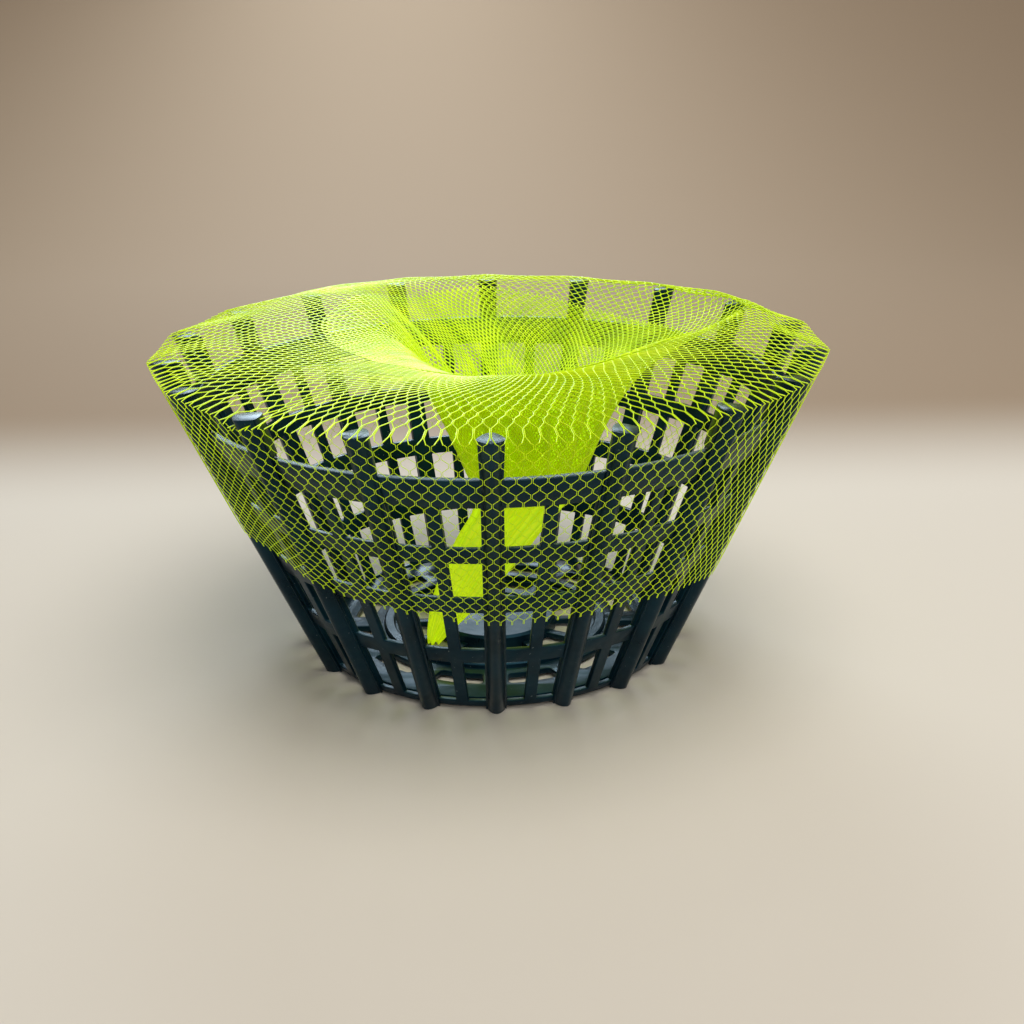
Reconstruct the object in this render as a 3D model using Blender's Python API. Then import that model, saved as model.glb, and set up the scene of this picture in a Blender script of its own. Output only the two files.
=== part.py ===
"""A rigid, open-work crab and whelk pot: a tapered moulded basket with an elastic net cover.

The basket is a cone of four rows of windows between five hoops. Eighteen upright staves
stand proud of the hoops, project above the rim and end in feet below the floor. The net
is one tube: its skirt hugs the staves outside, its crown lies over their tops, its throat
drops into the basket and its gathered tail reaches the floor.

Metres, +Z up. The origin is on the basket's axis, level with the underside of its feet.
Azimuth 0 is the front, on -Y, and grows towards +X.
"""

from math import cos, pi, radians, sin, tau

import bmesh
import bpy
from mathutils import Vector

MM = 0.001
GAP = 0.3 * MM  # what neighbouring pieces keep clear of each other

# ---- driving dimensions ---------------------------------------------------------------

HEIGHT = 124 * MM  # feet to stave tops
FOOT_RADIUS = 78 * MM  # outer face of the staves at the floor
RIM_RADIUS = 132 * MM  # outer face of the staves at their tops
TAPER = (RIM_RADIUS - FOOT_RADIUS) / HEIGHT

STAVE_COUNT = 18
STAVE_WIDTH = 7.8 * MM
STAVE_PROUD = 5 * MM  # how far a stave stands out from the wall
HEAD_WIDTH = 9.8 * MM
HEAD_DEPTH = 12 * MM  # a stave's free head is a whole oval, not a half one
STAVE_CHAMFER = 1 * MM
BACK_CROWN = 0.1 * MM  # the slight bulge of a stave's back towards the wall

WALL_THICKNESS = 2.6 * MM
RIM_THICKNESS = 3.6 * MM
HOOPS = {  # name: (bottom, top, thickness)
    "foot_hoop": (0.8 * MM, 3.6 * MM, WALL_THICKNESS),
    "lower_hoop": (24 * MM, 30.5 * MM, WALL_THICKNESS),
    "middle_hoop": (49 * MM, 55.8 * MM, WALL_THICKNESS),
    "upper_hoop": (72 * MM, 78.7 * MM, WALL_THICKNESS),
    "rim_hoop": (96 * MM, 107.5 * MM, RIM_THICKNESS),
}
SLAT_WIDTH = 4.6 * MM
SLAT_SKIN = 1.0 * MM  # a slat thins to this where it passes in front of a hoop
SLAT_RAMP = 0.6 * MM  # height over which it thins
NOTCH_MARGIN = 0.4 * MM  # how much wider than half a slat a hoop's notch is, on each side
NOTCH_SLOPE = radians(0.5)

FLOOR_BOTTOM = 1.0 * MM
FLOOR_TOP = 3.4 * MM
HUB_RADIUS = 26 * MM
HUB_TOP = 7 * MM
HUB_WALL = 2.2 * MM
HUB_DRAFT = 0.8 * MM  # how much narrower the hub is at its top
FLOOR_MARGIN = 0.45 * MM  # between the floor's edge and the wall
RIB_INNER, RIB_OUTER = 42 * MM, 47 * MM  # the raised ring round the floor's middle
RIB_TOP = 5.2 * MM
RIB_MARGIN = 2 * MM  # the solid band reaches this far inside the rib
SLOT_INNER, SLOT_OUTER = 51.5 * MM, 59.5 * MM  # the curved drain slots near the floor's edge
FLOOR_SECTORS = 12
BAR_HALF_ANGLE = radians(5.2)  # half of the solid bar between two drain slots
SPOKE_HALF_ANGLE = radians(3)

NET_THICKNESS = 0.9 * MM
NET_CLEARANCE = 0.4 * MM  # from the staves
SKIRT_BOTTOM = 46 * MM

ROUND_SEGMENTS = 72  # a multiple of the stave count, so every bay has the same facets
NET_SEGMENTS = 36


def wall_radius(height):
    """Outer face of the wall at a height."""
    return FOOT_RADIUS - STAVE_PROUD + TAPER * height


def stave_radius(height):
    """Outermost line of a stave at a height."""
    return FOOT_RADIUS + TAPER * height


def polar(radius, azimuth, height):
    """A point at an azimuth round the axis."""
    return Vector((radius * sin(azimuth), -radius * cos(azimuth), height))


# ---- building tools -------------------------------------------------------------------


def material(name, colour, roughness, metallic=0.0):
    """A Principled material."""
    finish = bpy.data.materials.new(name)
    finish.use_nodes = True
    shader = finish.node_tree.nodes["Principled BSDF"]
    shader.inputs["Base Color"].default_value = (*colour, 1)
    shader.inputs["Roughness"].default_value = roughness
    shader.inputs["Metallic"].default_value = metallic
    return finish


def add_object(name, mesh_builder, finish, smooth_angle=35):
    """Turns a filled bmesh into a named object with outward faces."""
    bmesh.ops.recalc_face_normals(mesh_builder, faces=mesh_builder.faces)
    mesh = bpy.data.meshes.new(name)
    mesh_builder.to_mesh(mesh)
    mesh_builder.free()
    mesh.shade_smooth()
    mesh.set_sharp_from_angle(angle=radians(smooth_angle))
    mesh.materials.append(finish)
    thing = bpy.data.objects.new(name, mesh)
    bpy.context.collection.objects.link(thing)
    return thing


def bridge(builder, first, second):
    """Quads between two closed loops of vertices."""
    count = len(first)
    for i in range(count):
        j = (i + 1) % count
        builder.faces.new((first[i], first[j], second[j], second[i]))


def add_loft(builder, sections):
    """A closed solid through sections, each a loop of points, with a flat face at both ends."""
    loops = [[builder.verts.new(point) for point in section] for section in sections]
    for first, second in zip(loops, loops[1:]):
        bridge(builder, first, second)
    builder.faces.new(loops[0])
    builder.faces.new(reversed(loops[-1]))


def add_ring(builder, profile_at, stations):
    """A closed ring: profile_at(station) gives the loop of points that is carried round."""
    loops = [[builder.verts.new(point) for point in profile_at(station)] for station in stations]
    for first, second in zip(loops, loops[1:] + loops[:1]):
        bridge(builder, first, second)


def even_turn(count):
    """Azimuths spread evenly round the axis."""
    return [tau * k / count for k in range(count)]


# ---- the basket -----------------------------------------------------------------------


def make_hoop(name, bottom, top, thickness, notched, finish):
    """One conical hoop of the wall, with a shallow notch in every bay for the slat in front."""
    bay = tau / STAVE_COUNT
    notch_depth = SLAT_SKIN + GAP if notched else 0
    notch_half = (SLAT_WIDTH / 2 + NOTCH_MARGIN) / wall_radius(bottom)
    flat_half = bay / 2 - notch_half - NOTCH_SLOPE
    cuts = [(-flat_half, 0), (0, 0), (flat_half, 0)]
    cuts += [(bay / 2 - notch_half, notch_depth), (bay / 2 + notch_half, notch_depth)]
    stations = [(bay * k + azimuth, depth) for k in range(STAVE_COUNT) for azimuth, depth in cuts]

    def profile(station):
        azimuth, depth = station
        return [
            polar(wall_radius(bottom) - thickness, azimuth, bottom),
            polar(wall_radius(bottom) - depth, azimuth, bottom),
            polar(wall_radius(top) - depth, azimuth, top),
            polar(wall_radius(top) - thickness, azimuth, top),
        ]

    builder = bmesh.new()
    add_ring(builder, profile, stations)
    return add_object(name, builder, finish)


def slat_steps():
    """Heights of a slat from the foot up, each with the slat's thickness there."""
    hoops = list(HOOPS.values())
    steps = [(hoops[0][0], SLAT_SKIN), (hoops[0][1] + GAP, SLAT_SKIN)]
    for bottom, top, _ in hoops[1:-1]:
        steps.append((steps[-1][0] + SLAT_RAMP, WALL_THICKNESS))
        steps.append((bottom - GAP - SLAT_RAMP, WALL_THICKNESS))
        steps.append((bottom - GAP, SLAT_SKIN))
        steps.append((top + GAP, SLAT_SKIN))
    steps.append((steps[-1][0] + SLAT_RAMP, WALL_THICKNESS))
    steps.append((hoops[-1][0] - GAP, WALL_THICKNESS))
    return steps


def make_slat(index, finish):
    """One flat slat, in the middle of a bay and flush with the hoops."""
    azimuth = tau * (index + 0.5) / STAVE_COUNT
    outward = polar(1, azimuth, 0)
    across = Vector((-outward.y, outward.x, 0)) * (SLAT_WIDTH / 2)
    sections = []
    for height, thickness in slat_steps():
        outer = polar(wall_radius(height), azimuth, height)
        inner = polar(wall_radius(height) - thickness, azimuth, height)
        sections.append([inner - across, outer - across, outer + across, inner + across])
    builder = bmesh.new()
    add_loft(builder, sections)
    return add_object(f"slat_{index + 1:02d}", builder, finish)


def stave_section(height, width, back_depth, azimuth):
    """The outline of a stave at a height.

    Its outer side is half an oval that reaches the stave's outer line. Its back is all but
    flat against the wall, or, above the rim, half an oval that reaches in by back_depth.
    """
    outward = polar(1, azimuth, 0)
    across = Vector((-outward.y, outward.x, 0))
    clear = GAP + BACK_CROWN
    seat = polar(wall_radius(height) + clear, azimuth, height)
    proud = STAVE_PROUD - clear
    steps = 8
    outer = [
        seat + across * (cos(pi * i / steps) * width / 2) + outward * (sin(pi * i / steps) * proud)
        for i in range(steps + 1)
    ]
    back = [
        seat - across * (cos(pi * i / steps) * width / 2) - outward * (sin(pi * i / steps) * back_depth)
        for i in range(1, steps)
    ]
    return outer + back


def make_stave(index, finish):
    """One upright stave: half-round below, a whole oval head above the rim, a chamfered foot."""
    azimuth = tau * index / STAVE_COUNT
    shoulder = HOOPS["rim_hoop"][1] + GAP
    head_back = HEAD_DEPTH - STAVE_PROUD
    sections = [
        stave_section(0, STAVE_WIDTH - STAVE_CHAMFER, BACK_CROWN, azimuth),
        stave_section(STAVE_CHAMFER, STAVE_WIDTH, BACK_CROWN, azimuth),
        stave_section(shoulder, STAVE_WIDTH, BACK_CROWN, azimuth),
        stave_section(shoulder + STAVE_CHAMFER, STAVE_WIDTH, head_back, azimuth),
        stave_section(HEIGHT - STAVE_CHAMFER, HEAD_WIDTH, head_back, azimuth),
        stave_section(HEIGHT, HEAD_WIDTH - STAVE_CHAMFER, head_back - STAVE_CHAMFER, azimuth),
    ]
    builder = bmesh.new()
    add_loft(builder, sections)
    return add_object(f"stave_{index + 1:02d}", builder, finish)


def make_floor_plate(finish):
    """The floor: spokes round the hub, a solid band, and a ring of curved drain slots."""
    radii = [HUB_RADIUS + GAP, RIB_INNER - RIB_MARGIN, SLOT_INNER, SLOT_OUTER]
    radii.append(wall_radius(FLOOR_BOTTOM) - WALL_THICKNESS - FLOOR_MARGIN)
    sector = tau / FLOOR_SECTORS
    cuts = [-BAR_HALF_ANGLE, -SPOKE_HALF_ANGLE, SPOKE_HALF_ANGLE, BAR_HALF_ANGLE, sector / 2]
    azimuths = [sector * k + cut for k in range(FLOOR_SECTORS) for cut in cuts]
    columns, rows = len(azimuths), len(radii) - 1

    def is_solid(row, column):
        part_of_sector = column % len(cuts)
        if row == 0:
            return part_of_sector == 1
        if row == 2:
            return part_of_sector < 3
        return True

    builder = bmesh.new()
    verts = {}

    def vert(level, ring, column):
        key = (level, ring, column % columns)
        if key not in verts:
            verts[key] = builder.verts.new(polar(radii[ring], azimuths[column % columns], level))
        return verts[key]

    for row in range(rows):
        for column in range(columns):
            if not is_solid(row, column):
                continue
            corners = [(row, column), (row, column + 1), (row + 1, column + 1), (row + 1, column)]
            neighbours = [row - 1, column + 1, row + 1, column - 1]
            builder.faces.new([vert(FLOOR_TOP, *corner) for corner in corners])
            builder.faces.new([vert(FLOOR_BOTTOM, *corner) for corner in reversed(corners)])
            for side in range(4):
                if side % 2 == 0:
                    other = neighbours[side]
                    joined = 0 <= other < rows and is_solid(other, column)
                else:
                    joined = is_solid(row, neighbours[side] % columns)
                if joined:
                    continue
                a, b = corners[side], corners[(side + 1) % 4]
                builder.faces.new(
                    (vert(FLOOR_TOP, *a), vert(FLOOR_BOTTOM, *a), vert(FLOOR_BOTTOM, *b), vert(FLOOR_TOP, *b))
                )
    return add_object("floor_plate", builder, finish)


def make_floor_rib(finish):
    """The low raised ring on the floor."""
    bottom = FLOOR_TOP + GAP

    def profile(azimuth):
        return [
            polar(RIB_INNER, azimuth, bottom),
            polar(RIB_OUTER, azimuth, bottom),
            polar(RIB_OUTER, azimuth, RIB_TOP),
            polar(RIB_INNER, azimuth, RIB_TOP),
        ]

    builder = bmesh.new()
    add_ring(builder, profile, even_turn(ROUND_SEGMENTS))
    return add_object("floor_rib", builder, finish)


def make_floor_hub(finish):
    """The raised round hub in the middle of the floor, hollow underneath."""
    segments = ROUND_SEGMENTS // 2
    outline = [
        (HUB_RADIUS - HUB_WALL, FLOOR_BOTTOM),
        (HUB_RADIUS, FLOOR_BOTTOM),
        (HUB_RADIUS - HUB_DRAFT, HUB_TOP),
    ]
    under = [(HUB_RADIUS - HUB_WALL, HUB_TOP - HUB_WALL)]
    builder = bmesh.new()
    sections = [
        [polar(radius, tau * k / segments, height) for k in range(segments)]
        for radius, height in under + outline
    ]
    add_loft(builder, sections)
    return add_object("floor_hub", builder, finish)


# ---- the net --------------------------------------------------------------------------

# Rings of the net's middle surface in millimetres, from the rim inwards and then down:
# centre x, centre y, half width, half depth, height.
OUTER_EDGE = (RIM_RADIUS + NET_CLEARANCE + NET_THICKNESS) / MM
LAID_ON_TOP = (HEIGHT + NET_CLEARANCE + NET_THICKNESS / 2) / MM
LIP_HEIGHT = 124.5
CROWN_RINGS = [
    (0, 0, OUTER_EDGE, OUTER_EDGE, LAID_ON_TOP),
    (0, 0, 119, 119, 127),
    (10, 8, 97, 97, 128.5),
    (22, 15, 76, 72, LIP_HEIGHT),
]
THROAT_RINGS = [
    (22, 15, 76, 72, LIP_HEIGHT - (NET_THICKNESS + GAP) / MM),
    (18, 12, 56, 54, 111),
    (15, 8, 37, 35, 98),
    (14, 2, 26, 17, 78),
    (14, 0, 20, 7, 62),
]
TAIL_SECTIONS = [
    (14, 0, 20, 7, 62 - GAP / MM),
    (2.5, -8, 15.5, 2.6, 45),
    (-14, -18, 10.5, 2, 22),
    (-25, -24, 2.5, 1.4, 5),
]


def oval(ring, azimuth, grow=0.0, lift=0.0):
    """A point on one of the net's rings, moved outwards or up."""
    x, y, half_width, half_depth, height = (value * MM for value in ring)
    return Vector(
        (x + (half_width + grow) * sin(azimuth), y - (half_depth + grow) * cos(azimuth), height + lift)
    )


def make_net_skirt(finish):
    """The part of the net that hugs the staves outside, down to its cut lower edge."""
    top = HEIGHT + NET_CLEARANCE - GAP
    inset = NET_CLEARANCE

    def profile(azimuth):
        return [
            polar(stave_radius(SKIRT_BOTTOM) + inset, azimuth, SKIRT_BOTTOM),
            polar(stave_radius(SKIRT_BOTTOM) + inset + NET_THICKNESS, azimuth, SKIRT_BOTTOM),
            polar(stave_radius(top) + inset + NET_THICKNESS, azimuth, top),
            polar(stave_radius(top) + inset, azimuth, top),
        ]

    builder = bmesh.new()
    add_ring(builder, profile, even_turn(NET_SEGMENTS))
    return add_object("net_skirt", builder, finish)


def make_net_crown(finish):
    """The part of the net that lies over the stave tops and dips to the mouth of the throat."""
    half = NET_THICKNESS / 2

    def profile(azimuth):
        upper = [oval(ring, azimuth, lift=half) for ring in CROWN_RINGS]
        lower = [oval(ring, azimuth, lift=-half) for ring in CROWN_RINGS]
        return upper + lower[::-1]

    builder = bmesh.new()
    add_ring(builder, profile, even_turn(NET_SEGMENTS))
    return add_object("net_crown", builder, finish)


def make_net_throat(finish):
    """The soft funnel that an animal drops through."""
    half = NET_THICKNESS / 2

    def profile(azimuth):
        outer = [oval(ring, azimuth, grow=half) for ring in THROAT_RINGS]
        inner = [oval(ring, azimuth, grow=-half) for ring in THROAT_RINGS]
        return outer + inner[::-1]

    builder = bmesh.new()
    add_ring(builder, profile, even_turn(NET_SEGMENTS))
    return add_object("net_throat", builder, finish)


def make_net_tail(finish):
    """The gathered end of the net, pulled down to the floor."""
    steps = 16
    builder = bmesh.new()
    sections = [[oval(section, tau * k / steps) for k in range(steps)] for section in TAIL_SECTIONS]
    add_loft(builder, sections)
    return add_object("net_tail", builder, finish)


# ---- the whole pot --------------------------------------------------------------------


def main():
    for old in list(bpy.data.objects):
        bpy.data.objects.remove(old, do_unlink=True)

    bottle_green = material("moulded_polyethylene", (0.011, 0.022, 0.026), 0.42)
    net_yellow = material("elastic_net_yarn", (0.48, 0.68, 0.01), 0.55)

    for name, (bottom, top, thickness) in HOOPS.items():
        make_hoop(name, bottom, top, thickness, name != "rim_hoop", bottle_green)
    for index in range(STAVE_COUNT):
        make_stave(index, bottle_green)
        make_slat(index, bottle_green)
    make_floor_plate(bottle_green)
    make_floor_rib(bottle_green)
    make_floor_hub(bottle_green)

    make_net_skirt(net_yellow)
    make_net_crown(net_yellow)
    make_net_throat(net_yellow)
    make_net_tail(net_yellow)


main()
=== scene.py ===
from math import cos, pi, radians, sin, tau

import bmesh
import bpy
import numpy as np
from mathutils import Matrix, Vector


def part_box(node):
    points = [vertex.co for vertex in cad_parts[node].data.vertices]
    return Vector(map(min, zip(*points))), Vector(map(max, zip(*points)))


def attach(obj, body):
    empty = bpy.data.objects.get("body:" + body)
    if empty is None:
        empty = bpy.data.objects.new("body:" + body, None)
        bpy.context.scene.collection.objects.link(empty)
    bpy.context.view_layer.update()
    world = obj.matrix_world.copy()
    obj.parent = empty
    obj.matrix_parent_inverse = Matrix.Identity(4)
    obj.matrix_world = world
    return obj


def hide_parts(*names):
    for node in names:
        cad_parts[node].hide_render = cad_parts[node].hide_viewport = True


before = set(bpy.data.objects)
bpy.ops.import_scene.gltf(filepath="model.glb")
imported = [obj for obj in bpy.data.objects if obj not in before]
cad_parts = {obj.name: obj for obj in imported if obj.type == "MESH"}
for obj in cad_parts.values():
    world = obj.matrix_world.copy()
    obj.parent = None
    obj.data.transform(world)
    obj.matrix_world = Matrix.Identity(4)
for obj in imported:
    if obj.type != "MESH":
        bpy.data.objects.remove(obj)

# %% [markdown]
# # A crab and whelk pot with an elastic net cover
#
# The pot is a tapered, open-work basket moulded in one shot of dark plastic. Eighteen half-round
# staves stand on its outside, and thin slats and five hoops fill the wall between them. A knitted
# net, made as one stretchy tube, is pulled over the staves. Its upper end is pushed down the
# middle, so that it forms a soft funnel that lets an animal in and closes behind it.
#
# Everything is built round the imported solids: their boxes give the heights and radii used here.

MM = 0.001
STAVE_NAMES = sorted(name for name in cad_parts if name.startswith("stave_"))
SLAT_NAMES = sorted(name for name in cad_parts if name.startswith("slat_"))
HOOP_NAMES = ["foot_hoop", "lower_hoop", "middle_hoop", "upper_hoop", "rim_hoop"]
STAVES = len(STAVE_NAMES)
BAY = tau / STAVES

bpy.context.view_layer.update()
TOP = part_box("stave_01")[1].z
RIM_RADIUS = -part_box("stave_01")[0].y
HOOPS = [(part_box(name)[0].z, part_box(name)[1].z) for name in HOOP_NAMES]
FOOT_WALL = -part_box("foot_hoop")[0].y
RIM_WALL = -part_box("rim_hoop")[0].y
TAPER = (RIM_WALL - FOOT_WALL) / (HOOPS[-1][1] - HOOPS[0][1])


def wall_radius(height):
    """Radius of the wall's outer face at a height."""
    return FOOT_WALL + TAPER * (height - HOOPS[0][1])


STAVE_PROUD = RIM_RADIUS - wall_radius(TOP)
print("staves:", STAVES, "top:", round(TOP / MM, 1), "mm, rim radius:", round(RIM_RADIUS / MM, 1), "mm")


def polar(radius, azimuth, height):
    """A point at an azimuth round the axis: 0 is the front, on -Y, and it grows towards +X."""
    return Vector((radius * sin(azimuth), -radius * cos(azimuth), height))


# %% [markdown]
# ## Camera, floor and light
#
# A pot this size is looked at from a little above arm's height, so the camera stands half a metre
# in front and looks down by about twenty degrees. A camera is described by where it stands and by
# three turns; building its axes from the turns keeps them readable. The floor is a plain pale
# sheet that curves up far back, so there is no horizon line in the view. Its colour is painted
# darker behind the pot, a painted shade for the light falling off there. Three large lights give
# the soft, even light of a room with high windows.

# %% Camera
CAMERA_PLACE = Vector((0, -0.5586, 0.2617))
PITCH, YAW, ROLL = radians(20.6), radians(0.83), radians(-0.91)
FOCAL_LENGTH = 50.66  # on a sensor 36 mm wide

camera_data = bpy.data.cameras.new("camera")
camera_data.lens = FOCAL_LENGTH
camera_data.sensor_width = 36
camera_data.clip_start = 0.01
camera = bpy.data.objects.new("camera", camera_data)
look = Vector((sin(YAW) * cos(PITCH), cos(YAW) * cos(PITCH), -sin(PITCH)))
level_right = look.cross(Vector((0, 0, 1))).normalized()
level_up = level_right.cross(look)
right = level_right * cos(ROLL) + level_up * sin(ROLL)
up = level_up * cos(ROLL) - level_right * sin(ROLL)
axes = Matrix((right, up, -look)).transposed().to_4x4()
camera.matrix_world = Matrix.Translation(CAMERA_PLACE) @ axes
bpy.context.collection.objects.link(camera)
bpy.context.scene.camera = camera
print("camera height:", round(camera.location.z, 3), "m")


# %% Colours and a helper for nodes
def srgb(code):
    """A linear colour from the hex code of an sRGB colour."""
    channels = [int(code[i : i + 2], 16) / 255 for i in (1, 3, 5)]
    linear = [c / 12.92 if c <= 0.04045 else ((c + 0.055) / 1.055) ** 2.4 for c in channels]
    return (*linear, 1)


def add_node(tree, kind, inputs=None, **settings):
    """Adds a node, sets its properties, and fills or links its inputs by name or number."""
    node = tree.nodes.new(kind)
    for name, value in settings.items():
        setattr(node, name, value)
    for socket, value in (inputs or {}).items():
        if isinstance(value, bpy.types.NodeSocket):
            tree.links.new(value, node.inputs[socket])
        else:
            node.inputs[socket].default_value = value
    return node


def new_material(name):
    """An empty material with its tree, its shader and its object coordinates."""
    finish = bpy.data.materials.new(name)
    finish.use_nodes = True
    tree = finish.node_tree
    tree.nodes.clear()
    shader = add_node(tree, "ShaderNodeBsdfPrincipled")
    add_node(tree, "ShaderNodeOutputMaterial", {"Surface": shader.outputs["BSDF"]})
    place = add_node(tree, "ShaderNodeTexCoord").outputs["Object"]
    return finish, tree, shader, place


# %% Floor and lights
# The paper's colour is painted darker behind the pot: painted shade for the light falling off there.
FLOOR_COLOUR, FAR_PAINTED_SHADE_COLOUR = "#d3c9bc", "#957f68"
SHADE_FADE_START, SHADE_FADE_END = 0.15, 0.34  # painted shade: the paper is coloured darker behind the pot, where the light falls off
SWEEP_START = 0.75  # where the floor begins to curve up behind the pot
SWEEP_RADIUS = 0.6
SWEEP_HALF_WIDTH = 9.0
SWEEP_TOP = 2.5
SWEEP_STEPS = 12

builder = bmesh.new()
bends = [pi / 2 * i / SWEEP_STEPS for i in range(SWEEP_STEPS + 1)]
sweep = [(-SWEEP_HALF_WIDTH, 0.0)]
sweep += [(SWEEP_START + SWEEP_RADIUS * sin(bend), SWEEP_RADIUS * (1 - cos(bend))) for bend in bends]
sweep.append((SWEEP_START + SWEEP_RADIUS, SWEEP_TOP))
edges = [
    [builder.verts.new((side * SWEEP_HALF_WIDTH, y, z)) for side in (-1, 1)] for y, z in sweep
]
for (a, b), (c, d) in zip(edges, edges[1:]):
    builder.faces.new((a, b, d, c))
floor_mesh = bpy.data.meshes.new("studio_floor")
builder.to_mesh(floor_mesh)
builder.free()
floor_mesh.shade_smooth()
studio_floor = bpy.data.objects.new("studio_floor", floor_mesh)
bpy.context.collection.objects.link(studio_floor)

paper, tree, shader, place = new_material("backdrop paper, matt, painted shade behind the pot")
PAPER_GRAIN = 1.11 * MM
grain = add_node(tree, "ShaderNodeTexNoise", {"Vector": place, "Scale": 1 / PAPER_GRAIN, "Detail": 3})
depth = add_node(tree, "ShaderNodeSeparateXYZ", {0: place}).outputs["Y"]
# painted shade: the colour darkens from the floor's tone to the far tone behind the pot
painted_shade_fade = add_node(
    tree,
    "ShaderNodeMapRange",
    {"Value": depth, "From Min": SHADE_FADE_START, "From Max": SHADE_FADE_END},
    interpolation_type="SMOOTHSTEP",
)
tone = add_node(
    tree,
    "ShaderNodeMix",
    {0: painted_shade_fade.outputs["Result"], 6: srgb(FLOOR_COLOUR), 7: srgb(FAR_PAINTED_SHADE_COLOUR)},
    data_type="RGBA",
)
tree.links.new(tone.outputs[2], shader.inputs["Base Color"])
shader.inputs["Roughness"].default_value = 0.85
bump = add_node(
    tree, "ShaderNodeBump", {"Height": grain.outputs["Fac"], "Strength": 0.1, "Distance": 0.1 * MM}
)
tree.links.new(bump.outputs["Normal"], shader.inputs["Normal"])
floor_mesh.materials.append(paper)

LIGHT_AIM = Vector((0, 0, 0.06))
LIGHTS = {  # name: (place, size, watts, colour)
    "window_light": ((-0.12, 1.15, 0.66), 0.66, 11, "#cfe0ec"),
    "ceiling_light": ((0.3, -0.2, 1.6), 1.6, 23, "#fffdf8"),
    "front_fill": ((0.4, -1.5, 0.7), 1.2, 5, "#fff8ee"),
}
for name, (spot, size, watts, tint) in LIGHTS.items():
    lamp = bpy.data.lights.new(name, "AREA")
    lamp.shape = "DISK"
    lamp.size = size
    lamp.energy = watts
    lamp.color = srgb(tint)[:3]
    light = bpy.data.objects.new(name, lamp)
    aim = (LIGHT_AIM - Vector(spot)).to_track_quat("-Z", "Y")
    light.matrix_world = Matrix.Translation(spot) @ aim.to_matrix().to_4x4()
    light.visible_camera = False
    bpy.context.collection.objects.link(light)

world = bpy.data.worlds.new("soft_room")
world.use_nodes = True
world.node_tree.nodes["Background"].inputs["Color"].default_value = srgb("#ccd6dc")
world.node_tree.nodes["Background"].inputs["Strength"].default_value = 0.36
bpy.context.scene.world = world
bpy.context.scene.view_settings.view_transform = "Standard"
print("lights:", len(LIGHTS))

# %% [markdown]
# ## The basket's plastic
#
# Pots like this are injection moulded in polypropylene, dyed through a near-black bottle green.
# The mould leaves a fine satin grain, a faint orange-peel waviness on broad faces, and the surface
# picks up pale dust. Three noise patterns of real size do this: one for the shade of the dye, one
# for gloss and one, cut off high, for the specks of dust.

# %% Moulded polypropylene
DYE_DARK, DYE_LIGHT = "#05121a", "#0c2733"
DUST_COLOUR, PAINTED_SHEEN_TINT = "#9aa6a4", "#6cb2d8"  # painted reflection: the gloss is tinted a cool blue, standing in for the window's light
DYE_SIZE = 14 * MM
GRAIN_SIZE = 0.45 * MM  # drawn coarser than the real 0.1 mm so that it shows
WAVE_SIZE = 5 * MM
DUST_SIZE = 1.1 * MM

plastic, tree, shader, place = new_material("polypropylene, moulded, bottle green")
dye = add_node(tree, "ShaderNodeTexNoise", {"Vector": place, "Scale": 1 / DYE_SIZE, "Detail": 4})
shade = add_node(tree, "ShaderNodeValToRGB", {"Fac": dye.outputs["Fac"]})
shade.color_ramp.elements[0].color = srgb(DYE_DARK)
shade.color_ramp.elements[1].color = srgb(DYE_LIGHT)
shade.color_ramp.elements[0].position = 0.3
shade.color_ramp.elements[1].position = 0.7
dust = add_node(tree, "ShaderNodeTexNoise", {"Vector": place, "Scale": 1 / DUST_SIZE, "Detail": 2})
speck = add_node(
    tree,
    "ShaderNodeMapRange",
    {"Value": dust.outputs["Fac"], "From Min": 0.72, "From Max": 0.78, "To Max": 0.5},
)
dusty = add_node(
    tree,
    "ShaderNodeMix",
    {0: speck.outputs["Result"], 6: shade.outputs["Color"], 7: srgb(DUST_COLOUR)},
    data_type="RGBA",
)
tree.links.new(dusty.outputs[2], shader.inputs["Base Color"])
gloss = add_node(
    tree,
    "ShaderNodeMapRange",
    {"Value": dye.outputs["Fac"], "From Min": 0.3, "From Max": 0.7, "To Min": 0.27, "To Max": 0.4},
)
tree.links.new(gloss.outputs["Result"], shader.inputs["Roughness"])
shader.inputs["IOR"].default_value = 1.49
# painted reflection: the specular tint colours every highlight of the plastic blue
shader.inputs["Specular Tint"].default_value = srgb(PAINTED_SHEEN_TINT)
grain = add_node(tree, "ShaderNodeTexNoise", {"Vector": place, "Scale": 1 / GRAIN_SIZE, "Detail": 2})
wave = add_node(tree, "ShaderNodeTexNoise", {"Vector": place, "Scale": 1 / WAVE_SIZE, "Detail": 1})
fine = add_node(
    tree, "ShaderNodeBump", {"Height": grain.outputs["Fac"], "Strength": 0.25, "Distance": 0.05 * MM}
)
relief = {"Height": wave.outputs["Fac"], "Strength": 0.4, "Distance": 0.4 * MM}
coarse = add_node(tree, "ShaderNodeBump", {**relief, "Normal": fine.outputs["Normal"]})
tree.links.new(coarse.outputs["Normal"], shader.inputs["Normal"])

# %% [markdown]
# ## The net's yarn
#
# The net is knitted from fine polyethylene yarn dyed a fluorescent yellow-green. Such a dye turns
# part of the blue light that reaches it into yellow-green, so the yarn looks brighter than the
# white paper beside it. A little emission of the same colour, a painted glow that shines whatever
# the lamps, stands for that; the closed cells of the tail get twice as much, painted light for the
# light that shines through their crowded layers. The yarn itself is smooth and slightly waxy, and
# lets some light through.

# %% Fluorescent polyethylene yarn
YARN_DEEP, YARN_BRIGHT = "#b8dc00", "#def800"
YARN_TINT_SIZE = 9 * MM
TWIST_SIZE = 0.35 * MM
# painted glow: the colour the yarn emits, as though it were a lamp
PAINTED_GLOW_COLOUR = "#d2f400"
RIB_LINES = 30  # ribs round the closed cells, drawn a few threads wide so that they show


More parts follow.
